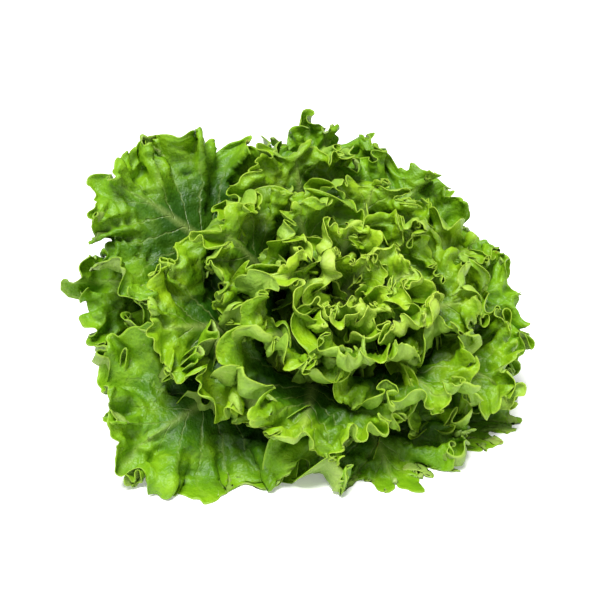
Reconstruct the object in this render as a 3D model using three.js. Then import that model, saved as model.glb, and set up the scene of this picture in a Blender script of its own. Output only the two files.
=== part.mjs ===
// A head of batavia lettuce, cut at the root and laid down half on its side.
// The leaves grow in a spiral from a short tapered stem and lie inside each other like nested
// bowls. The head's axis leans towards -Y, so the heart looks forward and up, the cut stem end
// looks back and down, and the lowest leaves lie along the surface that the head rests on.
// Frame: millimetres, +Z up, origin under the middle of the head, on the resting surface.
import * as THREE from "three";

// ---- driving dimensions -------------------------------------------------------------------
const LEAF_COUNT = 30;
const AXIS_RISE = THREE.MathUtils.degToRad(45); // the head's axis above the horizontal
const SPIRAL_STEP = THREE.MathUtils.degToRad(137.5); // from each leaf to the next one out
const FIRST_TURN = THREE.MathUtils.degToRad(40); // where the innermost leaf stands

const STEM_LENGTH = 62; // from the outermost leaf's foot to the innermost one's
const STEM_FOOT_RADIUS = 15;
const STEM_TIP_RADIUS = 3;
const STEM_BUTT = 12; // bare stem below the outermost leaf
const STEM_GAP = 0.9; // between the stem and a leaf's foot
const STEM_CHAMFER = 2; // round the cut end
// The chamfer lies on the surface, which puts the outermost leaf's foot at this height.
const STEM_HEIGHT = Math.sin(AXIS_RISE) * STEM_BUTT
  + Math.cos(AXIS_RISE) * (STEM_FOOT_RADIUS - STEM_GAP - STEM_CHAMFER);

const LEAF_LENGTHS = [62, 94, 118, 136, 148, 154]; // innermost to outermost, evenly spaced
const LEAF_HALF_WIDTHS = [26, 52, 80, 102, 116, 124];
const FOOT_HALF_WIDTHS = [4, 6, 8, 10, 12, 13];
const LENGTH_SPREAD = 0.06; // how much longer or shorter single leaves are
// Leaves that don't keep to the pattern: share of the plain length, and degrees off the spiral.
const LONG_LEAVES = { outer_leaf_2: 0.98, outer_leaf_5: 1.06, outer_leaf_7: 1.2 };
const TURNED_LEAVES = { outer_leaf_1: 4, outer_leaf_2: 2, outer_leaf_5: 11, outer_leaf_7: -13 };
const LEAF_THICKNESS = 1.3;
const LEVEL_SHARE = 0.6; // the share of its own layer that a leaf may fill
const WRAP_LIMIT = 1.9; // how far round the axis half a leaf may reach, in radians

const INNER_LEAN = THREE.MathUtils.degToRad(13); // innermost leaf from the head's axis
const OUTER_LEAN = THREE.MathUtils.degToRad(64); // outermost leaf, where nothing holds it up
const LEAN_POWER = 0.9;
const LEAN_BLEND = 0.12; // how softly a leaf's own lean gives way to the surface, in radians
const REACH = 150; // the length at which the lowest leaves meet the surface
const BOW = 13; // how far the outermost leaf bows inwards before it flares
const FRONT_FLARE = 42; // how far the outermost leaf's tip bends back at the front
const BACK_FLARE = 2; // and at the back, where the leaves stand up
const SETTLE = 22; // the lowest leaves would hang this far below the surface without it
const FLOOR_SOFTNESS = 6; // the height under which leaves are pressed flatter
const PRESSED = 1.3; // the lowest leaf is pressed this far into a flat

const STEPS_ACROSS = 12;
const STEPS_ALONG = 8;
const STEM_SIDES = 24;

const OUTER_GREEN = { color: 0x6f9d2b, roughness: 0.5, metalness: 0 };
const MIDDLE_GREEN = { color: 0x86b32c, roughness: 0.5, metalness: 0 };
const HEART_GREEN = { color: 0xa7c84a, roughness: 0.45, metalness: 0 };
const STEM_WHITE = { color: 0xdfe3c0, roughness: 0.6, metalness: 0 };

// ---- the head's own frame -----------------------------------------------------------------
const axis = new THREE.Vector3(0, -Math.cos(AXIS_RISE), Math.sin(AXIS_RISE));
const upper = new THREE.Vector3(0, Math.sin(AXIS_RISE), Math.cos(AXIS_RISE));
const side = new THREE.Vector3(1, 0, 0);

function mix(a, b, share) {
  return a + (b - a) * share;
}

// A value from a list that runs evenly from the innermost leaf (level 0) to the outermost (1).
function along(list, level) {
  const place = THREE.MathUtils.clamp(level, 0, 1) * (list.length - 1);
  const low = Math.min(Math.floor(place), list.length - 2);
  return mix(list[low], list[low + 1], place - low);
}

function softMin(a, b, softness) {
  return -softness * Math.log(Math.exp(-a / softness) + Math.exp(-b / softness));
}

// The lean at which a leaf of the outermost level, REACH long, just meets the surface.
function surfaceLean(turn) {
  const down = Math.cos(turn) * Math.cos(AXIS_RISE);
  const up = Math.sin(AXIS_RISE);
  const drop = -STEM_HEIGHT - SETTLE - STEM_FOOT_RADIUS * down;
  const pull = Math.hypot(down, up);
  const share = THREE.MathUtils.clamp(drop / (REACH * pull), -1, 1);
  return Math.atan2(down, up) + Math.acos(share);
}

// How far a leaf at this level and this turn round the axis leans away from the axis.
function leanOf(level, turn) {
  const open = softMin(OUTER_LEAN, surfaceLean(turn), LEAN_BLEND);
  return mix(INNER_LEAN, open, Math.pow(Math.max(level, 0), LEAN_POWER));
}

// Distance from the axis and height along it, at a distance along a leaf from its foot.
function profile(level, turn, distance) {
  const lean = leanOf(level, turn);
  const share = distance / REACH;
  const flare = mix(FRONT_FLARE, BACK_FLARE, (1 + Math.cos(turn)) / 2);
  const bend = level * (flare * share ** 3 - 4 * BOW * share * (1 - share));
  return {
    radius: mix(STEM_TIP_RADIUS, STEM_FOOT_RADIUS, level)
      + Math.sin(lean) * distance + Math.cos(lean) * bend,
    height: STEM_LENGTH * (1 - level) + Math.cos(lean) * distance - Math.sin(lean) * bend,
  };
}

// Presses what would be near or under the surface into a thin flat stack above it.
function pressed(height) {
  const soft = height >= FLOOR_SOFTNESS
    ? height
    : FLOOR_SOFTNESS * Math.exp((height - FLOOR_SOFTNESS) / FLOOR_SOFTNESS);
  return Math.max(soft - PRESSED, 0);
}

function place(level, turn, distance) {
  const { radius, height } = profile(level, turn, distance);
  const point = new THREE.Vector3(0, 0, STEM_HEIGHT + PRESSED)
    .addScaledVector(side, radius * Math.sin(turn))
    .addScaledVector(upper, radius * Math.cos(turn))
    .addScaledVector(axis, height);
  point.z = pressed(point.z);
  return point;
}

// ---- leaves -------------------------------------------------------------------------------
// Half the width of a leaf at a share of its length: a narrow foot, then a broad round blade.
function halfWidth(level, share) {
  const rise = Math.sin(Math.PI * Math.min(share / 1.5, 1)) ** 1.4;
  return mix(along(FOOT_HALF_WIDTHS, level), along(LEAF_HALF_WIDTHS, level), rise);
}

// A closed shell between two levels close on either side of the leaf's own.
function leafGeometry(index) {
  const level = (index + 0.5) / LEAF_COUNT;
  const aside = THREE.MathUtils.degToRad(TURNED_LEAVES[leafName(index)] ?? 0);
  const turn = FIRST_TURN + SPIRAL_STEP * index + aside;
  const length = along(LEAF_LENGTHS, level) * (1 + LENGTH_SPREAD * Math.sin(2.3 * index))
    * (LONG_LEAVES[leafName(index)] ?? 1);
  const layer = (LEVEL_SHARE * 0.5) / LEAF_COUNT;
  const rows = STEPS_ALONG + 1;
  const columns = STEPS_ACROSS + 1;
  const faces = [[], []];
  for (let row = 0; row < rows; row++) {
    const share = row / STEPS_ALONG;
    const width = halfWidth(level, share);
    for (let column = 0; column < columns; column++) {
      const across = (2 * column) / STEPS_ACROSS - 1;
      const distance = length * share * (1 - 0.3 * Math.abs(across) ** 2.4);
      const radius = Math.max(profile(level, turn, distance).radius, 1);
      const swing = WRAP_LIMIT * Math.tanh((width * across) / (radius * WRAP_LIMIT));
      const outside = place(level + layer, turn + swing, distance);
      const inside = place(level - layer, turn + swing, distance);
      const excess = outside.distanceTo(inside) / LEAF_THICKNESS;
      if (excess > 1) {
        const middle = outside.clone().add(inside).multiplyScalar(0.5);
        outside.lerpVectors(middle, outside, 1 / excess);
        inside.lerpVectors(middle, inside, 1 / excess);
      }
      faces[0].push(outside);
      faces[1].push(inside);
    }
  }
  return shell(faces, rows, columns);
}

// Joins two matching grids of points into one closed body with its faces pointing out.
function shell([outside, inside], rows, columns) {
  const points = [...outside, ...inside];
  const triangles = [];
  const quad = (a, b, c, d) => triangles.push(a, b, c, a, c, d);
  const at = (row, column) => row * columns + column;
  const back = rows * columns;
  for (let row = 0; row < rows - 1; row++) {
    for (let column = 0; column < columns - 1; column++) {
      const [a, b] = [at(row, column), at(row, column + 1)];
      const [c, d] = [at(row + 1, column + 1), at(row + 1, column)];
      quad(a, b, c, d);
      quad(back + d, back + c, back + b, back + a);
    }
  }
  const rim = [];
  for (let column = 0; column < columns - 1; column++) rim.push(at(0, column));
  for (let row = 0; row < rows - 1; row++) rim.push(at(row, columns - 1));
  for (let column = columns - 1; column > 0; column--) rim.push(at(rows - 1, column));
  for (let row = rows - 1; row > 0; row--) rim.push(at(row, 0));
  rim.forEach((a, i) => {
    const b = rim[(i + 1) % rim.length];
    quad(b, a, back + a, back + b);
  });
  const geometry = new THREE.BufferGeometry().setFromPoints(points);
  geometry.setIndex(signedVolume(points, triangles) < 0 ? triangles.reverse() : triangles);
  geometry.computeVertexNormals();
  return geometry;
}

function signedVolume(points, triangles) {
  let volume = 0;
  for (let i = 0; i < triangles.length; i += 3) {
    const [a, b, c] = [points[triangles[i]], points[triangles[i + 1]], points[triangles[i + 2]]];
    volume += a.dot(b.clone().cross(c)) / 6;
  }
  return volume;
}

function leafName(index) {
  const outwards = LEAF_COUNT - index;
  if (index < 6) return `heart_leaf_${6 - index}`;
  if (index < 14) return `inner_leaf_${14 - index}`;
  if (index < 22) return `middle_leaf_${22 - index}`;
  return `outer_leaf_${outwards}`;
}

function leaf(index) {
  const level = index / (LEAF_COUNT - 1);
  const finish = level < 0.25 ? HEART_GREEN : level < 0.7 ? MIDDLE_GREEN : OUTER_GREEN;
  const material = new THREE.MeshStandardMaterial({ ...finish, side: THREE.DoubleSide });
  const mesh = new THREE.Mesh(leafGeometry(index), material);
  mesh.name = leafName(index);
  return mesh;
}

// ---- stem ---------------------------------------------------------------------------------
// A solid core: the cut end at the bottom, tapering to where the innermost leaf grows.
function stem() {
  const foot = STEM_FOOT_RADIUS - STEM_GAP;
  const tip = STEM_TIP_RADIUS - STEM_GAP;
  const outline = [
    new THREE.Vector2(0, -STEM_BUTT),
    new THREE.Vector2(foot - STEM_CHAMFER, -STEM_BUTT),
    new THREE.Vector2(foot, -STEM_BUTT + STEM_CHAMFER),
    new THREE.Vector2(foot, -1),
    new THREE.Vector2(tip, STEM_LENGTH - 1),
    new THREE.Vector2(0, STEM_LENGTH + 1),
  ];
  const mesh = new THREE.Mesh(
    new THREE.LatheGeometry(outline, STEM_SIDES),
    new THREE.MeshStandardMaterial(STEM_WHITE),
  );
  mesh.name = "stem";
  mesh.quaternion.setFromUnitVectors(new THREE.Vector3(0, 1, 0), axis);
  mesh.position.set(0, 0, STEM_HEIGHT);
  return mesh;
}

// ---- the head -----------------------------------------------------------------------------
const head = new THREE.Group();
head.add(stem());
for (let index = 0; index < LEAF_COUNT; index++) head.add(leaf(index));

const box = new THREE.Box3().setFromObject(head, true);
const middle = box.getCenter(new THREE.Vector3());
head.position.set(-middle.x, -middle.y, -box.min.z);

export default head;
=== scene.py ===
import math
from functools import partial
from types import SimpleNamespace

import bmesh
import bpy
import numpy as np
from bpy.props import FloatProperty, FloatVectorProperty, IntProperty, PointerProperty
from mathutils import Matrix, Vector


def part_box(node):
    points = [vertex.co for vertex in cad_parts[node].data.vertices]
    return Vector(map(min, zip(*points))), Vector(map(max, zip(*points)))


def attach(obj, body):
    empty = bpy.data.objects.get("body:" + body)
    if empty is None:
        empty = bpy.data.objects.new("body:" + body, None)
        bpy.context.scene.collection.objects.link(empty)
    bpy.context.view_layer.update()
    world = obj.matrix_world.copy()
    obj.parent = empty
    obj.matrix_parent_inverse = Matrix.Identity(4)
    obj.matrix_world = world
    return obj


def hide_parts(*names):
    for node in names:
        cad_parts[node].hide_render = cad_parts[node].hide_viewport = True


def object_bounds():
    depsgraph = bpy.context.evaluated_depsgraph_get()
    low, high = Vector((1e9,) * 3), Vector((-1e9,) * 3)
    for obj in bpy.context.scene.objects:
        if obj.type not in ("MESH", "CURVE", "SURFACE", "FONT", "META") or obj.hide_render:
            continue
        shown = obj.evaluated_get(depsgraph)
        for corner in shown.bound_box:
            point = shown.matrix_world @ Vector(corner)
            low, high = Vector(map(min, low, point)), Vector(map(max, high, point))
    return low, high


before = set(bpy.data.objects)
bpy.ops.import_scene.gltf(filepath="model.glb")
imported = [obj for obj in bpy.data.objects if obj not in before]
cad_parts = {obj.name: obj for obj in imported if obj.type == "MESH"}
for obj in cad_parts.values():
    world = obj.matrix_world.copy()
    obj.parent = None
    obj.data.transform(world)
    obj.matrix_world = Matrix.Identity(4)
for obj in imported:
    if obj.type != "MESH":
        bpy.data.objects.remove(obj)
cad_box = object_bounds()

bl_info = {
    "name": "Batavia lettuce",
    "version": (1, 0, 0),
    "blender": (4, 5, 0),
    "location": "3D View > Sidebar > Lettuce",
    "description": "Grows a head of batavia lettuce round the stem of the loaded model",
    "category": "Add Mesh",
}

MM = 0.001

# ---- how the head is laid out, as in the CAD model -----------------------------------------
LEAF_COUNT = 30
AXIS_RISE = math.radians(45)
SPIRAL_STEP = math.radians(137.5)
FIRST_TURN = math.radians(40)
STEM_LENGTH = 62.0
STEM_FOOT_RADIUS = 15.0
STEM_TIP_RADIUS = 3.0
STEM_BUTT = 12.0
STEM_GAP = 0.9
STEM_CHAMFER = 2.0
LEAF_LENGTHS = (62, 94, 118, 136, 148, 154)
LEAF_HALF_WIDTHS = (26, 52, 80, 102, 116, 124)
FOOT_HALF_WIDTHS = (4, 6, 8, 10, 12, 13)
LENGTH_SPREAD = 0.06
LONG_LEAVES = {28: 0.98, 25: 1.06, 23: 1.2}  # share of the plain length, by leaf
TURNED_LEAVES = {29: math.radians(4), 28: math.radians(2), 25: math.radians(11), 23: math.radians(-13)}
WRAP_LIMIT = 1.9
INNER_LEAN = math.radians(13)
OUTER_LEAN = math.radians(64)
LEAN_POWER = 0.9
LEAN_BLEND = 0.12
REACH = 150.0
BOW = 13.0
FRONT_FLARE = 42.0
BACK_FLARE = 2.0
SETTLE = 22.0
FLOOR_SOFTNESS = 6.0
PRESSED = 1.3

STEM_HEIGHT = math.sin(AXIS_RISE) * STEM_BUTT + math.cos(AXIS_RISE) * (
    STEM_FOOT_RADIUS - STEM_GAP - STEM_CHAMFER
)
AXIS = np.array([0.0, -math.cos(AXIS_RISE), math.sin(AXIS_RISE)])
UPPER = np.array([0.0, math.sin(AXIS_RISE), math.cos(AXIS_RISE)])
SIDE = np.array([1.0, 0.0, 0.0])

# ---- what the frilled leaves add to it ------------------------------------------------------
SHOULDER = 0.7  # share of its length at which a flat leaf is broadest
SHOULDER_RUN = 1.5  # the flank's curve would turn back in past this share
FLANK_POWER = 1.4
CROWN_DROP = 0.3  # how far the crown falls from tip to shoulder, as a share of the length
CROWN_POWER = 2.4
MIDRIB_END = 0.9  # share of the length that the midrib reaches
MIDRIB_POWER = 1.35  # crowds the fan's lines towards the midrib's tip
BARE_FOOT, FRILLED_PAST = 0.1, 0.4  # shares of the length between which frills set in

HEART_SCALE = 0.62  # size of the heart's frills beside the outer leaves'
FRILL_DRIFT = 0.28  # how unevenly frills are spaced
FRILL_SLANT = 1.2  # how far a frill's line leans along the margin, in radians of its wave
LEAST_GATHER = 0.35
SLIDE_SPAN = 70  # frills slide and rise about a mean taken over these lengths of margin
RISE_SPAN = 90
LOBE_PITCH = 30
LOBE_NOTCH = 2.0  # how far the plain margin is cut back between lobes
TOOTH_DRIFT = 26  # length over which teeth change their spacing
TOOTH_SWELL = 17  # and their size
GROWTH_FROM = 0.7  # share of the way to the margin where lobes and teeth set in
CURL_FROM = 0.66  # and where the roll of the margin does
CURL_PITCH = 44
CURL_LIMITS = (-1.7, 1.3)  # radians, away from the heart and towards it
CURL_LEAN = 0.3  # the front leaves' margins droop by twice this
SMALL_BLISTER = (0.53, 0.45)  # width and height beside the big ones
SHEET_LIFT = 0.7  # the lowest sheet's middle above the surface
LEAF_SEED = 4200
BLISTER_SEED = 9000

FINE = 2401  # samples round a margin
COLUMNS_PER_MM = 0.23
REFINED_PAST = (0.45, 0.8, 0.97)  # shares of the way to the margin where the columns double
ROWS = (
    *(0, 0.03, 0.07, 0.11, 0.15, 0.19, 0.23, 0.27, 0.31, 0.35, 0.39, 0.43, 0.47, 0.51, 0.55, 0.59),
    *(0.63, 0.67, 0.71, 0.745, 0.78, 0.815, 0.85, 0.885, 0.915, 0.94, 0.96, 0.98, 1.0),
)


def linear(hex_colour):
    """An sRGB hex colour as linear RGBA."""
    parts = [int(hex_colour[k : k + 2], 16) / 255 for k in (1, 3, 5)]
    return tuple(p / 12.92 if p <= 0.04045 else ((p + 0.055) / 1.055) ** 2.4 for p in parts) + (1.0,)


def colour(name, hex_colour):
    return FloatVectorProperty(
        name=name,
        description=f"{name}, as a linear colour",
        subtype="COLOR",
        size=4,
        min=0.0,
        max=1.0,
        default=linear(hex_colour),
    )


def size(name, description, millimetres):
    return FloatProperty(name=name, description=description, default=millimetres * MM, unit="LENGTH")


# ---- sizes and colours that a user may change -----------------------------------------------
class LeafForm(bpy.types.PropertyGroup):
    seed: IntProperty(name="Seed", description="Changes every leaf's random frills", default=0, min=0)
    thickness: size("Midrib thickness", "Thickness of a leaf along its midrib", 3.2)
    blade_share: FloatProperty(
        name="Blade share", description="Thickness of the blade as a share of the midrib's", default=0.16
    )
    broad_wave: size("Broad waves", "Length of the folds that cross the whole blade", 54)
    fold_wave: size("Folds", "Length of the folds of the outer half of the blade", 21)
    frill_wave: size("Frills", "Length of the frills near the margin", 10.5)
    crimp_wave: size("Crimps", "Length of the smallest frills, on the margin itself", 5.5)
    lobe_height: size("Lobes", "Height of the margin's broad lobes", 3.2)
    tooth_height: size("Teeth", "Height of the margin's teeth", 2.4)
    tooth_pitch: size("Tooth spacing", "Distance between the margin's teeth", 4.2)
    blister_width: size("Blister width", "Distance between the blisters of the blade", 15)
    blister_height: size("Blister height", "Height of the blisters of the blade", 2.7)
    curl: FloatProperty(
        name="Curl", description="How far the margin rolls over", default=0.85, subtype="ANGLE"
    )


# in the leaf colour groups below, the dark colours are both the leaf's dark mottle and painted shade in the
# hollows among the leaves
class HeartLeafColours(bpy.types.PropertyGroup):
    inner_dark_and_shade: colour("Inner side, hollows", "#336a00")
    inner_mid: colour("Inner side", "#86b808")
    inner_light: colour("Inner side, near the margin", "#b0d42c")
    inner_vein: colour("Inner side, veins", "#dce69a")
    under_dark_and_shade: colour("Underside, hollows", "#528a0a")
    under_mid: colour("Underside", "#92be20")
    under_light: colour("Underside, near the margin", "#b4d24a")
    under_vein: colour("Underside, veins", "#e4ecb8")
    # the margin colours of the leaf colour groups are a painted highlight where the leaf's edge catches light
    rim_highlight: colour("Margin", "#cfe25e")
    glow: colour("Light through the leaf", "#e4ee44")


class MiddleLeafColours(bpy.types.PropertyGroup):
    inner_dark_and_shade: colour("Inner side, hollows", "#1c4c00")
    inner_mid: colour("Inner side", "#689e02")
    inner_light: colour("Inner side, near the margin", "#9ac414")
    inner_vein: colour("Inner side, veins", "#c4d676")
    under_dark_and_shade: colour("Underside, hollows", "#447a0a")
    under_mid: colour("Underside", "#7eb022")
    under_light: colour("Underside, near the margin", "#a8ca4e")
    under_vein: colour("Underside, veins", "#dce6b0")
    rim_highlight: colour("Margin", "#bcd848")
    glow: colour("Light through the leaf", "#d8e830")


class OuterLeafColours(bpy.types.PropertyGroup):
    inner_dark_and_shade: colour("Inner side, hollows", "#1f4c00")
    inner_mid: colour("Inner side", "#589000")
    inner_light: colour("Inner side, near the margin", "#8abc14")
    inner_vein: colour("Inner side, veins", "#b4ca6c")
    under_dark_and_shade: colour("Underside, hollows", "#497814")
    under_mid: colour("Underside", "#78a230")
    under_light: colour("Underside, near the margin", "#a0bc58")
    under_vein: colour("Underside, veins", "#d2dea4")
    rim_highlight: colour("Margin", "#a8ca3a")
    glow: colour("Light through the leaf", "#cede2c")


class StemColours(bpy.types.PropertyGroup):
    # the flesh's dark and light colours follow the fibres' bump: painted shade in its grooves, a painted
    # highlight on its ridges
    flesh_dark_and_shade: colour("Flesh, hollows", "#c9c79a")
    flesh: colour("Flesh", "#e4e6c4")
    flesh_light_and_highlight: colour("Flesh, ridges", "#eef0d8")
    browned: colour("Dried cut", "#a5703c")


class StageSettings(bpy.types.PropertyGroup):
    azimuth: FloatProperty(
        name="Camera azimuth", description="Turn of the camera", default=math.radians(-25), subtype="ANGLE"
    )
    elevation: FloatProperty(
        name="Camera elevation", description="Rise of the camera", default=math.radians(21.5), subtype="ANGLE"
    )
    distance: size("Camera distance", "Distance from the camera to its target", 925)
    lens: FloatProperty(name="Lens", description="Focal length", default=85, unit="CAMERA")
    key_strength: FloatProperty(name="Key light", description="Strength of the key light", default=4.95)
    key_softness: FloatProperty(
        name="Key softness", description="Spread of the key light", default=math.radians(28), subtype="ANGLE"
    )
    sky_strength: FloatProperty(name="Sky", description="Strength of the white surroundings", default=0.34)


# ---- the nested bowls that the leaves lie on ------------------------------------------------
def foot_point():
    """Where the stem's axis passes its foot, from the CAD stem's box, in millimetres."""
    low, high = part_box("stem")
    back = math.cos(AXIS_RISE) * STEM_BUTT + math.sin(AXIS_RISE) * (
        STEM_FOOT_RADIUS - STEM_GAP - STEM_CHAMFER
    )
    return np.array([(low[0] + high[0]) / 2 / MM, high[1] / MM - back, 0.0])


def along(values, level):
    return float(np.interp(level, np.linspace(0, 1, len(values)), values))


def mix(a, b, share):
    return a + (b - a) * share


def smooth_step(x):
    x = np.clip(x, 0.0, 1.0)
    return x * x * (3 - 2 * x)


def surface_lean(turn):
    """The lean at which a leaf of that turn would just lie on the surface."""
    down = np.cos(turn) * math.cos(AXIS_RISE)
    up = math.sin(AXIS_RISE)
    drop = -STEM_HEIGHT - SETTLE - STEM_FOOT_RADIUS * down
    share = np.clip(drop / (REACH * np.hypot(down, up)), -1, 1)
    return np.arctan2(down, up) + np.arccos(share)


def lean_of(level, turn):
    limit = surface_lean(turn)
    open_lean = -LEAN_BLEND * np.log(np.exp(-OUTER_LEAN / LEAN_BLEND) + np.exp(-limit / LEAN_BLEND))
    return mix(INNER_LEAN, open_lean, max(level, 0.0) ** LEAN_POWER)


def profile(level, turn, distance):
    """Radius and height of a level's bowl, that far from the stem."""
    lean = lean_of(level, turn)
    share = distance / REACH
    flare = mix(FRONT_FLARE, BACK_FLARE, (1 + np.cos(turn)) / 2)
    bend = level * (flare * share**3 - 4 * BOW * share * (1 - share))
    radius = mix(STEM_TIP_RADIUS, STEM_FOOT_RADIUS, level) + np.sin(lean) * distance + np.cos(lean) * bend
    height = STEM_LENGTH * (1 - level) + np.cos(lean) * distance - np.sin(lean) * bend
    return radius, height


def place(level, turn, distance):
    """Points of a level's bowl, before the surface presses on them, in millimetres."""
    radius, height = profile(level, turn, distance)
    return (
        np.array([0.0, 0.0, STEM_HEIGHT + PRESSED])
        + SIDE * (radius * np.sin(turn))[..., None]
        + UPPER * (radius * np.cos(turn))[..., None]
        + AXIS * height[..., None]
    )


def pressed(height):
    """Heights above the surface once what would be under it is pressed into a thin stack."""
    soft = np.where(
        height >= FLOOR_SOFTNESS, height, FLOOR_SOFTNESS * np.exp((height - FLOOR_SOFTNESS) / FLOOR_SOFTNESS)
    )
    return np.maximum(soft - PRESSED, 0.0) + SHEET_LIFT


def swing_of(leaf, flat):
    """How far round its bowl each point of the flat leaf lies, from the leaf's middle."""
    radius = np.maximum(profile(leaf.level, np.full(FINE, leaf.centre), flat[:, 1])[0], 1.0)
    return WRAP_LIMIT * np.tanh(flat[:, 0] / (radius * WRAP_LIMIT))


def unit(vectors):
    return vectors / np.linalg.norm(vectors, axis=1)[:, None]


# ---- smooth random lines --------------------------------------------------------------------
def waves(rng, x, length, spread=0.35, count=5):
    """A smooth random line of about unit height whose bumps are about that long."""
    total = np.zeros_like(x)
    for _ in range(count):
        total += np.sin(2 * np.pi * x / (length * rng.uniform(1 - spread, 1 + spread)) + rng.uniform(0, 6.3))
    return total * math.sqrt(2 / count)


def ripples(rng, x, y, length, count=9):
    """The same over a plane."""
    total = np.zeros_like(x)
    for _ in range(count):
        heading = rng.uniform(0, 2 * np.pi)
        pitch = 2 * np.pi / (length * rng.uniform(0.7, 1.4))
        total += np.sin(pitch * (x * math.cos(heading) + y * math.sin(heading)) + rng.uniform(0, 6.3))
    return total * math.sqrt(2 / count)


def blurred(line, width):
    """A line averaged over a bell-shaped window of that many samples."""
    width = max(int(width) | 1, 3)
    bell = np.hanning(width + 2)[1:-1]
    bell /= bell.sum()
    half = width // 2
    return np.convolve(np.pad(line, half, mode="reflect"), bell, mode="valid")


# ---- the flat leaf --------------------------------------------------------------------------
def leaf_name(index):
    if index < 6:
        return f"heart_leaf_{6 - index}"
    if index < 14:
        return f"inner_leaf_{14 - index}"
    if index < 22:
        return f"middle_leaf_{22 - index}"
    return f"outer_leaf_{30 - index}"


def half_outline(level, length, count):
    """Evenly spaced points round half of a flat leaf's margin, from its tip to its foot."""
    width = along(LEAF_HALF_WIDTHS, level)
    foot = along(FOOT_HALF_WIDTHS, level)
    share = np.linspace(0, 1, 300)
    rise = np.sin(np.pi * np.minimum(share / SHOULDER_RUN, 1)) ** FLANK_POWER
    flank = np.stack([mix(foot, width, rise), SHOULDER * length * share], axis=1)
    across = np.linspace(1, 0, 200)[1:]
    crown = np.stack([flank[-1, 0] * across, length * (1 - CROWN_DROP * across**CROWN_POWER)], axis=1)
    points = np.concatenate([flank, crown])[::-1]
    steps = np.concatenate([[0], np.cumsum(np.hypot(*np.diff(points, axis=0).T))])
    even = np.linspace(0, steps[-1], count)
    return np.stack([np.interp(even, steps, points[:, k]) for k in (0, 1)], axis=1), steps[-1]


def flat_leaf(index):
    """A leaf's flat outline, sampled finely from one side of its foot round its tip to the other."""
    level = (index + 0.5) / LEAF_COUNT
    spread = 1 + LENGTH_SPREAD * math.sin(2.3 * index)
    length = along(LEAF_LENGTHS, level) * spread * LONG_LEAVES.get(index, 1)
    half, half_arc = half_outline(level, length, (FINE + 1) // 2)
    margin = np.concatenate([half[::-1] * (-1, 1), half[1:]])
    a = np.linspace(-1, 1, FINE)
    spine = np.stack([np.zeros(FINE), MIDRIB_END * length * (1 - np.abs(a)) ** MIDRIB_POWER], axis=1)
    fan = margin - spine
    return SimpleNamespace(
        index=index,
        level=level,
        centre=FIRST_TURN + SPIRAL_STEP * index + TURNED_LEAVES.get(index, 0),
        length=length,
        half_arc=half_arc,
        a=a,
        arc=a * half_arc,  # millimetres round the margin from the tip
        per_mm=(FINE - 1) / (2 * half_arc),
        spine=spine,
        fan=fan,
        fan_length=np.hypot(*fan.T),
        start=smooth_step((margin[:, 1] / length - BARE_FOOT) / (FRILLED_PAST - BARE_FOOT)),
    )


def frills_of(rng, leaf, form):
    """How the margin's path turns aside: phase, gain, depth, onset and power at each scale."""
    scale = mix(HEART_SCALE, 1.0, leaf.level)
    scales = (  # wave, depth, onset and power
        (form.broad_wave / MM * scale, mix(0.85, 1.1, leaf.level), 0.0, 0.8),
        (form.fold_wave / MM * scale, 1.6, mix(0.3, 0.02, leaf.level), 1.05),
        (form.frill_wave / MM * scale, 1.5, mix(0.6, 0.36, leaf.level), 1.15),
        (form.crimp_wave / MM, 0.9, 0.78, 1.0),
    )
    frills = []
    for wave, depth, onset, power in scales:
        stretch = np.maximum(1 + FRILL_DRIFT * waves(rng, leaf.arc, wave * 5), 0.35)
        path = np.cumsum(stretch) / leaf.per_mm
        gain = np.clip(0.85 + 0.25 * waves(rng, leaf.arc, wave * 3.2), 0.35, 1.25)
        frills.append((2 * np.pi * path / wave + rng.uniform(0, 6.3), gain * leaf.start, depth, onset, power))
    return frills


def outgrowth_of(rng, leaf, form):
    """Lobes and teeth: how far the margin grows beyond the plain outline, in millimetres."""
    lobes = form.lobe_height / MM * np.abs(waves(rng, leaf.arc, LOBE_PITCH)) - LOBE_NOTCH
    stretch = np.maximum(1 + 0.35 * waves(rng, leaf.arc, TOOTH_DRIFT), 0.4)
    saw = np.cumsum(stretch) / leaf.per_mm / (form.tooth_pitch / MM)
    swell = np.clip(0.9 + 0.4 * waves(rng, leaf.arc, TOOTH_SWELL), 0.25, 1.5)
    teeth = form.tooth_height / MM * (1 - np.abs(2 * (saw % 1) - 1)) ** 0.8 * swell
    return (lobes + teeth) * leaf.start


def frill_waves(leaf, frills, b, steps):
    """How far a row's points slide along the row and rise off the bowl, in millimetres."""
    aside = np.zeros(FINE)
    for phase, gain, depth, onset, power in frills:
        share = smooth_step((b - onset) / (1 - onset)) if b > onset else 0.0
        aside += depth * share**power * gain * np.sin(phase + FRILL_SLANT * (1 - b))
    gather = 1 / max(np.average(np.cos(aside), weights=leaf.start + 1e-3), LEAST_GATHER)
    gather = mix(1.0, gather, leaf.start)
    shift = np.cumsum((gather * np.cos(aside) - 1) * steps)
    wave = np.cumsum(gather * np.sin(aside) * steps)
    shift -= blurred(shift, SLIDE_SPAN * leaf.per_mm)
    wave -= blurred(wave, RISE_SPAN * leaf.per_mm)
    return shift, wave


def blisters_of(leaf, flat, b, form):
    """Raised blade between the veins, in millimetres."""
    rng = np.random.default_rng(BLISTER_SEED + leaf.index + form.seed)
    width, height = form.blister_width / MM, form.blister_height / MM
    blister = height * np.abs(ripples(rng, flat[:, 0], flat[:, 1], width))
    small_width, small_height = SMALL_BLISTER
    blister += small_height * height * np.abs(ripples(rng, flat[:, 0], flat[:, 1], small_width * width))
    return blister * smooth_step((b - 0.04) / 0.3) * mix(0.4, 1.0, leaf.level)


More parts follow.
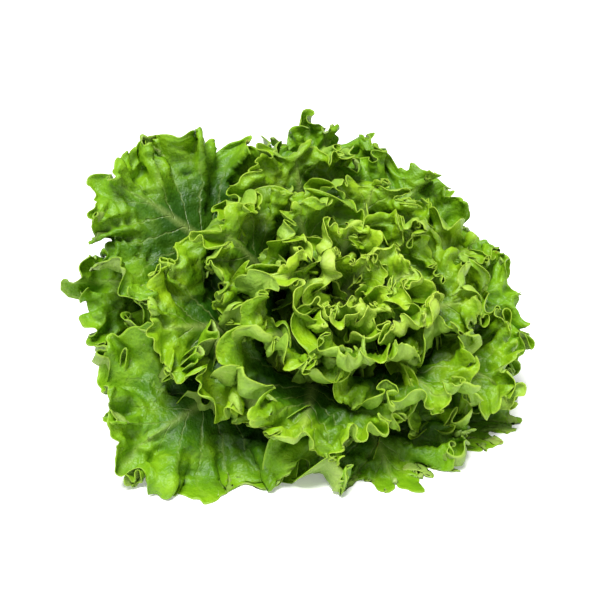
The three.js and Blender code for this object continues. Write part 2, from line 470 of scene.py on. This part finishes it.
def row_of_points(leaf, b, frills, curl, outgrowth, form):
    """A function that gives the points of row b at any places round the margin."""
    flat = leaf.spine + leaf.fan * b
    turn = leaf.centre + swing_of(leaf, flat)
    base = place(leaf.level, turn, flat[:, 1])
    east = place(leaf.level, turn + 0.01, flat[:, 1]) - place(leaf.level, turn - 0.01, flat[:, 1])
    north = place(leaf.level, turn, flat[:, 1] + 0.5) - place(leaf.level, turn, flat[:, 1] - 0.5)
    inward = unit(np.cross(north, east))
    outer = flat + leaf.fan / leaf.fan_length[:, None] * 0.5
    outwards = unit(place(leaf.level, leaf.centre + swing_of(leaf, outer), outer[:, 1]) - base)

    # the roll of the margin, as an arc of a circle
    past = max(b - CURL_FROM, 0) * leaf.fan_length
    bend = curl * past / (leaf.fan_length * (1 - CURL_FROM))
    safe = np.where(np.abs(bend) < 1e-4, 1e-4, bend)
    slide = (np.sin(safe) / safe - 1) * past
    lift = (1 - np.cos(safe)) / safe * past
    ahead = outwards * np.cos(bend)[:, None] + inward * np.sin(bend)[:, None]
    normal = inward * np.cos(bend)[:, None] - outwards * np.sin(bend)[:, None]

    steps = np.linalg.norm(np.diff(base, axis=0), axis=1)
    steps = np.append(steps, steps[-1])
    shift, wave = frill_waves(leaf, frills, b, steps)
    rise = wave + blisters_of(leaf, flat, b, form)
    growth = outgrowth * smooth_step((b - GROWTH_FROM) / (1 - GROWTH_FROM))
    moved = np.clip(leaf.a + shift / np.maximum(steps * (FINE - 1) / 2, 1e-3), -1, 1)

    def at(values, where):
        return np.stack([np.interp(where, leaf.a, values[:, k]) for k in range(3)], axis=1)

    spot = at(base + outwards * slide[:, None] + inward * lift[:, None], moved)
    spot += at(normal, moved) * rise[:, None] + at(ahead, moved) * growth[:, None]
    return lambda wanted: at(spot, wanted)


def flat_grid(columns):
    """A grid from midrib (y 0) to margin (y 1) whose columns double towards the margin."""
    bm = bmesh.new()
    for name in ("edge_mm", "rib_mm", "up_leaf"):
        bm.verts.layers.float.new(name)
    bm.verts.layers.deform.new()
    bm.loops.layers.uv.new("fan")
    bmesh.ops.create_grid(bm, x_segments=columns, y_segments=len(ROWS) - 1, size=1.0)
    for vert in bm.verts:
        vert.co.y = ROWS[round((vert.co.y + 1) / 2 * (len(ROWS) - 1))]
        vert.co.z = 0
    for onset in REFINED_PAST:
        level_edges = [e for e in bm.edges if abs(e.verts[0].co.y - e.verts[1].co.y) < 1e-6]
        bmesh.ops.subdivide_edges(bm, edges=[e for e in level_edges if e.verts[0].co.y > onset], cuts=1)
    return bm


def leaf_sheet(index, form):
    """The leaf as one sheet with no thickness yet: a bmesh with what its material needs."""
    rng = np.random.default_rng(LEAF_SEED + index + form.seed)
    leaf = flat_leaf(index)
    frills = frills_of(rng, leaf, form)
    outgrowth = outgrowth_of(rng, leaf, form)
    curl = CURL_LEAN * (math.cos(leaf.centre) - 1) + form.curl * waves(rng, leaf.arc, CURL_PITCH)
    curl = np.clip(curl, *CURL_LIMITS) * leaf.start

    bm = flat_grid(2 * int(leaf.half_arc * COLUMNS_PER_MM))
    verts = list(bm.verts)
    grid = np.array([v.co[:2] for v in verts])
    points = np.zeros((len(verts), 3))
    edge_mm, rib_mm, up_leaf = np.zeros((3, len(verts)))
    for b in ROWS:
        chosen = np.abs(grid[:, 1] - b) < 1e-5
        wanted = grid[chosen, 0]
        points[chosen] = row_of_points(leaf, b, frills, curl, outgrowth, form)(wanted)
        flat = leaf.spine + leaf.fan * b
        edge_mm[chosen] = np.interp(wanted, leaf.a, (1 - b) * leaf.fan_length)
        rib_mm[chosen] = np.interp(wanted, leaf.a, np.abs(flat[:, 0]))
        up_leaf[chosen] = np.interp(wanted, leaf.a, flat[:, 1] / leaf.length)
    points[:, 2] = pressed(points[:, 2])
    points += foot_point()

    fan = bm.loops.layers.uv["fan"]
    for face in bm.faces:
        face.smooth = True
        for loop in face.loops:
            loop[fan].uv = loop.vert.co.xy
    rib_width = np.maximum(along(FOOT_HALF_WIDTHS, leaf.level) * 0.75 * (1 - up_leaf) + 0.8, 0.8)
    rib_share = np.exp(-((rib_mm / rib_width) ** 2)) * (1 - up_leaf) ** 0.8
    layers = [bm.verts.layers.float[name] for name in ("edge_mm", "rib_mm", "up_leaf")]
    deform = bm.verts.layers.deform.active
    midrib = {round(v.co.x, 5): v for v in verts if v.co.y < 1e-6}
    halves = {v: midrib[round(-v.co.x, 5)] for v in midrib.values() if v.co.x > 1e-6}
    for k, vert in enumerate(verts):
        for layer, values in zip(layers, (edge_mm, rib_mm, up_leaf)):
            vert[layer] = values[k]
        vert[deform][0] = float(rib_share[k])
        vert.co = Vector(points[k] * MM)
    bmesh.ops.weld_verts(bm, targetmap=halves)
    return bm


def thick_leaf(index, form, materials):
    name = leaf_name(index) + "_frilled"
    bm = leaf_sheet(index, form)
    mesh = bpy.data.meshes.new(name)
    bm.to_mesh(mesh)
    bm.free()
    leaf = bpy.data.objects.new(name, mesh)
    bpy.context.scene.collection.objects.link(leaf)
    for material in materials:
        mesh.materials.append(material)
    group = leaf.vertex_groups.new(name="rib")
    solid = leaf.modifiers.new("Thickness", "SOLIDIFY")
    solid.thickness = form.thickness
    solid.offset = -1
    solid.vertex_group = group.name
    solid.thickness_vertex_group = form.blade_share
    solid.material_offset = 1
    solid.material_offset_rim = 0
    solid.use_rim = True
    return leaf


# ---- materials ------------------------------------------------------------------------------
MATH = "ShaderNodeMath"
TIMES = {"operation": "MULTIPLY"}
TIMES_PLUS = {"operation": "MULTIPLY_ADD"}
LESS = {"operation": "SUBTRACT", "use_clamp": True}
RANGE = "ShaderNodeMapRange"  # value, from, to, and the results at both ends
MIX = "ShaderNodeMix"
COLOURS = {"data_type": "RGBA"}  # with its factor at i0, its colours at i6 and i7, its result at 2
TINT = {"data_type": "RGBA", "blend_type": "MULTIPLY"}


def add_node(tree, kind, settings=None, output=0, **links):
    """Add a node with its settings and links, and give one of its outputs.

    Inputs go by name, or by number as i0, i1 and so on, and take a value or another node's output.
    """
    node = tree.nodes.new(kind)
    for key, value in (settings or {}).items():
        setattr(node, key, value)
    for key, value in links.items():
        numbered = key[0] == "i" and key[1:].isdigit()
        socket = node.inputs[int(key[1:]) if numbered else key]
        if isinstance(value, bpy.types.NodeSocket):
            tree.links.new(value, socket)
        else:
            socket.default_value = value
    return node.outputs[output]


def empty_material(name):
    material = bpy.data.materials.new(name)
    material.use_nodes = True
    material.node_tree.nodes.clear()
    return material, partial(add_node, material.node_tree)


BLOTCH_SCALE = 1 / (22 * MM)  # blotches about 22 mm apart
WRINKLE_SCALE = 1 / (5 * MM)  # puckers between the small veins
CELL_SCALE = 1 / (2.2 * MM)  # the net of the smallest veins, drawn coarser than it is, so that it shows
FIBRE_SCALE = 1 / (3.3 * MM)
VEINS_ROUND = 17  # side veins round the whole leaf
DRIED_TIP = "#8a5a20"


def leaf_material(name, dark, mid, light, vein_colour, rim_highlight, glow, painted_shade_mm, dried, see_through=0.2):
    """Living leaf tissue, a thin waxy skin over wet cells: mottled green with painted shade that deepens away
    from the margin, pale midrib and veins, a painted highlight along the margin, small glints on its
    puckers, and some light through the blade."""
    material, node = empty_material(name)
    where = node("ShaderNodeTexCoord", output="Object")
    edge = node("ShaderNodeAttribute", {"attribute_name": "edge_mm"}, "Fac")
    rib = node("ShaderNodeAttribute", {"attribute_name": "rib_mm"}, "Fac")
    up = node("ShaderNodeAttribute", {"attribute_name": "up_leaf"}, "Fac")
    fan = node("ShaderNodeUVMap", {"uv_map": "fan"})
    round_leaf = node("ShaderNodeSeparateXYZ", output="X", i0=fan)
    to_margin = node("ShaderNodeSeparateXYZ", output="Y", i0=fan)
    noise = partial(node, "ShaderNodeTexNoise", Vector=where, Roughness=0.6)
    blotch = noise(Scale=BLOTCH_SCALE, Detail=4.0)
    wrinkle = noise(Scale=WRINKLE_SCALE, Detail=2.0)
    cells = noise(Scale=CELL_SCALE, Detail=3.0)

    tone = node(MATH, TIMES_PLUS, i0=blotch, i1=1.5, i2=-0.25)
    tone = node(MATH, TIMES_PLUS, i0=cells, i1=0.25, i2=tone)
    green = node(MIX, COLOURS, 2, i0=node(RANGE, i0=tone, i1=0.25, i2=0.55), i6=dark, i7=mid)
    green = node(MIX, COLOURS, 2, i0=node(RANGE, i0=tone, i1=0.55, i2=0.85), i6=green, i7=light)
    # lighter over the last 40 mm to the margin
    near = node(MATH, {"operation": "POWER"}, i0=node(RANGE, i0=edge, i1=40.0, i2=0.0), i1=1.5)
    near = node(MATH, TIMES, i0=near, i1=0.45)
    green = node(MIX, COLOURS, 2, i0=near, i6=green, i7=light)
    # painted shade: darker far from the margin, in the hollows among the leaves
    hollow_shade = node(RANGE, i0=edge, i1=0.22 * painted_shade_mm, i2=painted_shade_mm, i4=0.85)
    green = node(MIX, COLOURS, 2, i0=hollow_shade, i6=green, i7=dark)
    # side veins along the fan, waving a little
    comb = node(MATH, TIMES_PLUS, i0=round_leaf, i1=VEINS_ROUND, i2=node(MATH, TIMES, i0=blotch, i1=0.9))
    comb = node(MATH, {"operation": "PINGPONG"}, i0=comb, i1=0.5)
    fade = node(RANGE, i0=to_margin, i1=1.18, i2=0.0)
    vein = node(MATH, TIMES, i0=node(RANGE, i0=comb, i1=0.429, i2=0.5), i1=fade)
    green = node(MIX, COLOURS, 2, i0=node(MATH, TIMES, i0=vein, i1=0.32), i6=green, i7=vein_colour)
    # midrib, 11 mm to either side at the foot and 2 mm at the tip
    width = node(MATH, TIMES_PLUS, i0=up, i1=-9.0, i2=11.0)
    beside = node(MATH, {"operation": "DIVIDE"}, i0=rib, i1=width)
    ridge = node(MATH, TIMES, i0=node(MATH, LESS, i0=1.0, i1=beside), i1=node(MATH, LESS, i0=1.15, i1=up))
    green = node(MIX, COLOURS, 2, i0=ridge, i6=green, i7=vein_colour)
    # a thin painted highlight along the margin, where its edge catches light; the margin dried in a few small
    # spots
    line = node(RANGE, i0=edge, i1=1.2, i2=0.0, i4=0.5)
    green = node(MIX, COLOURS, 2, i0=line, i6=green, i7=rim_highlight)
    spots = node(RANGE, i0=blotch, i1=0.66, i2=0.7, i4=dried)
    spots = node(MATH, TIMES, i0=node(RANGE, i0=edge, i1=2.6, i2=0.8), i1=spots)
    green = node(MIX, COLOURS, 2, i0=spots, i6=green, i7=linear(DRIED_TIP))

    height = node(MATH, TIMES, i0=cells, i1=0.8)
    height = node(MATH, TIMES_PLUS, i0=wrinkle, i1=1.6, i2=height)
    height = node(MATH, TIMES_PLUS, i0=vein, i1=-0.8, i2=height)
    bump = node("ShaderNodeBump", Strength=0.6, Distance=1.3 * MM, Height=height)
    skin = {"Base Color": green, "Roughness": 0.44, "Normal": bump, "Specular IOR Level": 0.42}
    body = node("ShaderNodeBsdfPrincipled", **skin)
    lit = node(MIX, TINT, 2, i0=1.0, i6=green, i7=glow)
    through = node("ShaderNodeBsdfTranslucent", Color=lit, Normal=bump)
    both = node("ShaderNodeMixShader", i0=see_through, i1=body, i2=through)
    finish(material, both)
    return material


def finish(material, surface):
    """Link a finished surface to the material's output."""
    tree = material.node_tree
    tree.links.new(surface, tree.nodes.new("ShaderNodeOutputMaterial").inputs["Surface"])


def leaf_materials(kind, colours, painted_shade_mm, dried=0.0):
    """The inner side's material and the underside's, with painted shade in the hollows, darkest that many
    millimetres from the margin.
    """
    c = colours
    shared = (c.rim_highlight, c.glow, painted_shade_mm, dried)
    return (
        leaf_material(f"{kind}, inner side", c.inner_dark_and_shade, c.inner_mid, c.inner_light, c.inner_vein, *shared),
        leaf_material(f"{kind}, underside", c.under_dark_and_shade, c.under_mid, c.under_light, c.under_vein, *shared),
    )


def stem_material(colours):
    """Wet, fibrous stem flesh, nearly white, that dries brown where it was cut; its fibre grain carries
    painted shade in the bump's grooves and a painted highlight on its ridges.
    """
    material, node = empty_material("Cut lettuce stem")
    where = node("ShaderNodeTexCoord", output="Object")
    fibre = node("ShaderNodeTexNoise", Vector=where, Scale=FIBRE_SCALE, Detail=4.0)
    dark, mid, light = colours.flesh_dark_and_shade, colours.flesh, colours.flesh_light_and_highlight
    # fibre grain that is also painted shade in the bump's grooves and a painted highlight on its ridges
    shade = node(MIX, COLOURS, 2, i0=node(RANGE, i0=fibre, i1=0.3, i2=0.6), i6=dark, i7=mid)
    shade = node(MIX, COLOURS, 2, i0=node(RANGE, i0=fibre, i1=0.6, i2=0.8), i6=shade, i7=light)
    # brown in the last 2.5 mm to the cut, where the fibres dry first
    above = node("ShaderNodeVectorMath", {"operation": "DOT_PRODUCT"}, "Value", i0=where, i1=tuple(AXIS))
    cut = float(np.dot(foot_point() + (0, 0, STEM_HEIGHT), AXIS) - STEM_BUTT) * MM
    dried = node(RANGE, i0=above, i1=cut + 2.5 * MM, i2=cut + 0.2 * MM)
    dried = node(MATH, TIMES, i0=dried, i1=node(RANGE, i0=fibre, i1=0.2, i2=0.7))
    shade = node(MIX, COLOURS, 2, i0=dried, i6=shade, i7=colours.browned)
    bump = node("ShaderNodeBump", Strength=0.3, Distance=0.6 * MM, Height=fibre)
    flesh = {"Base Color": shade, "Roughness": 0.5, "Normal": bump}
    finish(material, node("ShaderNodeBsdfPrincipled", **flesh))
    return material


def floor_material():
    """Matt white paper, lit evenly enough to lose its edges."""
    material, node = empty_material("White paper sweep")
    paper = {
        "Base Color": (0.93, 0.93, 0.93, 1),
        "Roughness": 0.9,
        "Specular IOR Level": 0.1,
        "Emission Color": (1, 1, 1, 1),
        "Emission Strength": 0.25,
    }
    finish(material, node("ShaderNodeBsdfPrincipled", **paper))
    return material


# ---- the stage and the pieces ---------------------------------------------------------------
FLOOR_HALF = 6.0  # metres
AIM_SHIFT = Vector((-0.0210, 0.0037, -0.0035))  # from the middle of the CAD model's box
KEY_HEADING = (0.3, 0.25, -1.0)  # from over the viewer's left shoulder


def mesh_object(name, bm, material):
    mesh = bpy.data.meshes.new(name)
    bm.to_mesh(mesh)
    bm.free()
    mesh.materials.append(material)
    made = bpy.data.objects.new(name, mesh)
    bpy.context.scene.collection.objects.link(made)
    return made


def lay_floor():
    bm = bmesh.new()
    bmesh.ops.create_grid(bm, x_segments=1, y_segments=1, size=FLOOR_HALF)
    mesh_object("floor", bm, floor_material())


def aim(thing, direction):
    thing.rotation_euler = Vector(direction).to_track_quat("-Z", "Y").to_euler()


def set_camera(scene, stage):
    low, high = cad_box
    target = (Vector(low) + Vector(high)) / 2 + AIM_SHIFT
    outwards = Vector(
        (
            math.sin(stage.azimuth) * math.cos(stage.elevation),
            -math.cos(stage.azimuth) * math.cos(stage.elevation),
            math.sin(stage.elevation),
        )
    )
    data = bpy.data.cameras.new("camera")
    data.lens = stage.lens
    data.sensor_width = 36
    camera = bpy.data.objects.new("camera", data)
    scene.collection.objects.link(camera)
    camera.location = target + stage.distance * outwards
    aim(camera, -outwards)
    scene.camera = camera


def set_light(scene, stage):
    data = bpy.data.lights.new("key", "SUN")
    data.energy = stage.key_strength
    data.angle = stage.key_softness
    key = bpy.data.objects.new("key", data)
    scene.collection.objects.link(key)
    key.location = (0, 0, 1)
    aim(key, KEY_HEADING)
    world = bpy.data.worlds.new("soft white")
    world.use_nodes = True
    background = world.node_tree.nodes["Background"]
    background.inputs[0].default_value = (1, 1, 1, 1)
    background.inputs[1].default_value = stage.sky_strength
    scene.world = world
    scene.view_settings.view_transform = "Standard"
    scene.view_settings.look = "None"


STEM_SIDES = 48


def stem_mesh():
    """The stem turned about its axis: a cut foot with worn edges, tapering to its tip."""
    foot = STEM_FOOT_RADIUS - STEM_GAP
    tip = STEM_TIP_RADIUS - STEM_GAP
    outline = (
        (foot - STEM_CHAMFER, -STEM_BUTT),
        (foot - 0.3 * STEM_CHAMFER, -STEM_BUTT + 0.3 * STEM_CHAMFER),
        (foot, -STEM_BUTT + STEM_CHAMFER),
        (foot, -1),
        (mix(foot, tip, 0.5), STEM_LENGTH / 2),
        (tip, STEM_LENGTH - 1),
    )
    bm = bmesh.new()
    bmesh.ops.create_grid(bm, x_segments=STEM_SIDES, y_segments=len(outline) - 1, size=1.0)
    base = foot_point() + (0, 0, STEM_HEIGHT)
    for vert in bm.verts:
        radius, height = outline[round((vert.co.y + 1) / 2 * (len(outline) - 1))]
        turn = (vert.co.x + 1) * math.pi
        point = base + SIDE * radius * math.sin(turn) + UPPER * radius * math.cos(turn) + AXIS * height
        vert.co = Vector(point * MM)
    bmesh.ops.remove_doubles(bm, verts=bm.verts, dist=1e-6)
    bmesh.ops.holes_fill(bm, edges=bm.edges, sides=0)
    bmesh.ops.recalc_face_normals(bm, faces=bm.faces)
    for face in bm.faces:
        face.smooth = len(face.verts) < 8
    return bm


def grow_leaves(first, past, slot, form, materials):
    for index in range(first, past):
        leaf = thick_leaf(index, form, materials)
        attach(leaf, "root")
        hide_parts(leaf_name(index))


HEART_LEAVES = (0, 8)
MIDDLE_LEAVES = (8, 21)
OUTER_LEAVES = (21, LEAF_COUNT)


class LETTUCE_OT_stage(bpy.types.Operator):
    """Lay the white floor and set the camera and the light"""

    bl_idname = "lettuce.stage"
    bl_label = "Lay the stage"

    def execute(self, context):
        stage = context.scene.lettuce_stage
        lay_floor()
        set_camera(context.scene, stage)
        set_light(context.scene, stage)
        return {"FINISHED"}


class LETTUCE_OT_stem(bpy.types.Operator):
    """Turn the stem, cut at the root"""

    bl_idname = "lettuce.stem"
    bl_label = "Turn the stem"

    def execute(self, context):
        stem = mesh_object("cut_stem", stem_mesh(), stem_material(context.scene.lettuce_stem))
        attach(stem, "root")
        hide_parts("stem")
        return {"FINISHED"}


class LETTUCE_OT_heart_leaves(bpy.types.Operator):
    """Grow the small pale leaves of the heart"""

    bl_idname = "lettuce.heart_leaves"
    bl_label = "Grow the heart leaves"

    def execute(self, context):
        scene = context.scene
        materials = leaf_materials("Heart leaf", scene.lettuce_heart, painted_shade_mm=24)
        grow_leaves(*HEART_LEAVES, "heart_leaf", scene.lettuce_form, materials)
        return {"FINISHED"}


class LETTUCE_OT_middle_leaves(bpy.types.Operator):
    """Grow the frilled leaves round the heart"""

    bl_idname = "lettuce.middle_leaves"
    bl_label = "Grow the middle leaves"

    def execute(self, context):
        scene = context.scene
        materials = leaf_materials("Middle leaf", scene.lettuce_middle, painted_shade_mm=34)
        grow_leaves(*MIDDLE_LEAVES, "middle_leaf", scene.lettuce_form, materials)
        return {"FINISHED"}


class LETTUCE_OT_outer_leaves(bpy.types.Operator):
    """Grow the big dark leaves that the head rests on"""

    bl_idname = "lettuce.outer_leaves"
    bl_label = "Grow the outer leaves"

    def execute(self, context):
        scene = context.scene
        materials = leaf_materials("Outer leaf", scene.lettuce_outer, painted_shade_mm=48, dried=0.8)
        grow_leaves(*OUTER_LEAVES, "outer_leaf", scene.lettuce_form, materials)
        return {"FINISHED"}


class LETTUCE_PT_head(bpy.types.Panel):
    bl_idname = "LETTUCE_PT_head"
    bl_label = "Batavia lettuce"
    bl_space_type = "VIEW_3D"
    bl_region_type = "UI"
    bl_category = "Lettuce"

    def draw(self, context):
        for operator in OPERATORS:
            self.layout.operator(operator.bl_idname)
        for name in SETTINGS:
            settings = getattr(context.scene, name)
            box = self.layout.box()
            for key in settings.bl_rna.properties.keys():
                if key not in ("rna_type", "name"):
                    box.prop(settings, key)


SETTINGS = {
    "lettuce_form": LeafForm,
    "lettuce_heart": HeartLeafColours,
    "lettuce_middle": MiddleLeafColours,
    "lettuce_outer": OuterLeafColours,
    "lettuce_stem": StemColours,
    "lettuce_stage": StageSettings,
}
OPERATORS = (
    LETTUCE_OT_stage,
    LETTUCE_OT_stem,
    LETTUCE_OT_heart_leaves,
    LETTUCE_OT_middle_leaves,
    LETTUCE_OT_outer_leaves,
)


def register():
    for cls in (*SETTINGS.values(), *OPERATORS, LETTUCE_PT_head):
        bpy.utils.register_class(cls)
    for name, group in SETTINGS.items():
        setattr(bpy.types.Scene, name, PointerProperty(type=group))


def unregister():
    for name in SETTINGS:
        delattr(bpy.types.Scene, name)
    for cls in reversed((*SETTINGS.values(), *OPERATORS, LETTUCE_PT_head)):
        bpy.utils.unregister_class(cls)


def main():
    register()
    bpy.ops.lettuce.stage()
    bpy.ops.lettuce.stem()
    bpy.ops.lettuce.heart_leaves()
    bpy.ops.lettuce.middle_leaves()
    bpy.ops.lettuce.outer_leaves()


if __name__ == "__main__":
    main()
